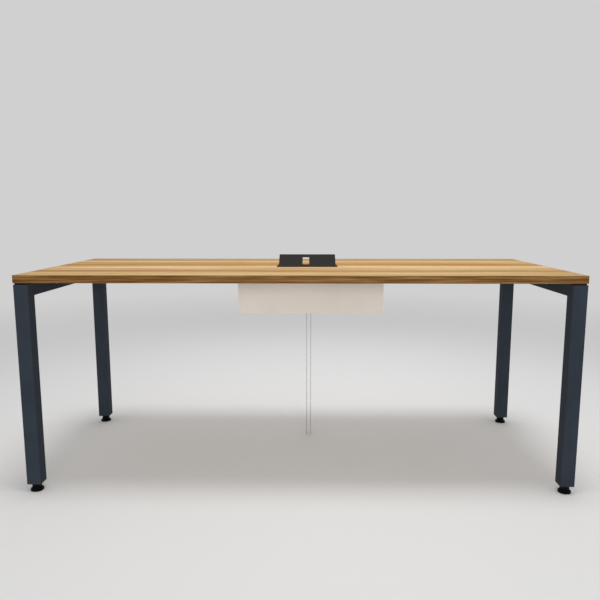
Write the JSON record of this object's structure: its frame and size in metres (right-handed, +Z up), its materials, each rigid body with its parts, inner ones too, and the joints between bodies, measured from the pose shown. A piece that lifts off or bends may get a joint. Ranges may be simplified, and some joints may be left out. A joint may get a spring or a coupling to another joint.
{
  "type": "conference table",
  "caption": "Conference table with an oak-faced rectangular top on slate square legs with levelling feet, a hinged cable flap in the top, a cable tray below it and a clear riser tube.",
  "frame": {"origin": "on the floor under the centre of the top", "axes": "+X along the length of the top, +Y from the front to the rear, +Z up"},
  "size_m": [1.8, 0.74, 0.7612],
  "materials": {
    "oak_face": "satin oak laminate with grain along the length",
    "oak_edge": "satin oak edge band, darker than the face",
    "slate_paint": "fine matt slate powder coat",
    "black_plastic": "moulded, matt",
    "zinc_steel": "zinc plated",
    "charcoal_coat": "matt charcoal coat",
    "cream_paint": "matt cream powder coat",
    "clear_plastic": "clear tube, smooth"
  },
  "bodies": {
    "table": {"top_board": "oak_face", "edge_band_front": "oak_edge", "edge_band_rear": "oak_edge", "edge_band_left": "oak_edge", "edge_band_right": "oak_edge", "end_rail_left": "slate_paint", "end_rail_right": "slate_paint", "beam_front": "slate_paint", "beam_rear": "slate_paint", "leg_front_left": "slate_paint", "leg_front_right": "slate_paint", "leg_rear_left": "slate_paint", "leg_rear_right": "slate_paint", "leg_cap_front_left": "slate_paint", "leg_cap_front_right": "slate_paint", "leg_cap_rear_left": "slate_paint", "leg_cap_rear_right": "slate_paint", "beam_plate_front_left": "slate_paint", "beam_plate_front_right": "slate_paint", "beam_plate_rear_left": "slate_paint", "beam_plate_rear_right": "slate_paint", "rail_packers": "black_plastic", "beam_packers": "black_plastic", "leg_spacers": "black_plastic", "flap_frame": "black_plastic", "foot_insert_front_left": "black_plastic", "foot_insert_front_right": "black_plastic", "foot_insert_rear_left": "black_plastic", "foot_insert_rear_right": "black_plastic", "flap_hinge_pins": "zinc_steel", "flap_clamps": "zinc_steel", "tray_body": "cream_paint", "tray_end_left": "cream_paint", "tray_end_right": "cream_paint", "tray_hangers": "cream_paint", "riser_tube": "clear_plastic", "riser_collar": "clear_plastic"},
    "flap_lid": {"flap_lid": "charcoal_coat"},
    "foot_front_left": {"foot_stud_front_left": "zinc_steel", "foot_pad_front_left": "black_plastic"},
    "foot_front_right": {"foot_stud_front_right": "zinc_steel", "foot_pad_front_right": "black_plastic"},
    "foot_rear_left": {"foot_stud_rear_left": "zinc_steel", "foot_pad_rear_left": "black_plastic"},
    "foot_rear_right": {"foot_stud_rear_right": "zinc_steel", "foot_pad_rear_right": "black_plastic"}
  },
  "joints": [
    {"name": "flap_hinge", "type": "hinge", "parent": "table", "child": "flap_lid", "pos_m": [0.023, -0.0385, 0.7185], "axis": [1, 0, 0], "range_deg": [-32, 63]},
    {"name": "foot_front_left_screw", "type": "slide", "parent": "table", "child": "foot_front_left", "axis": [0, 0, -1], "range_m": [0, 0.015]},
    {"name": "foot_front_right_screw", "type": "slide", "parent": "table", "child": "foot_front_right", "axis": [0, 0, -1], "range_m": [0, 0.015]},
    {"name": "foot_rear_left_screw", "type": "slide", "parent": "table", "child": "foot_rear_left", "axis": [0, 0, -1], "range_m": [0, 0.015]},
    {"name": "foot_rear_right_screw", "type": "slide", "parent": "table", "child": "foot_rear_right", "axis": [0, 0, -1], "range_m": [0, 0.015]}
  ]
}
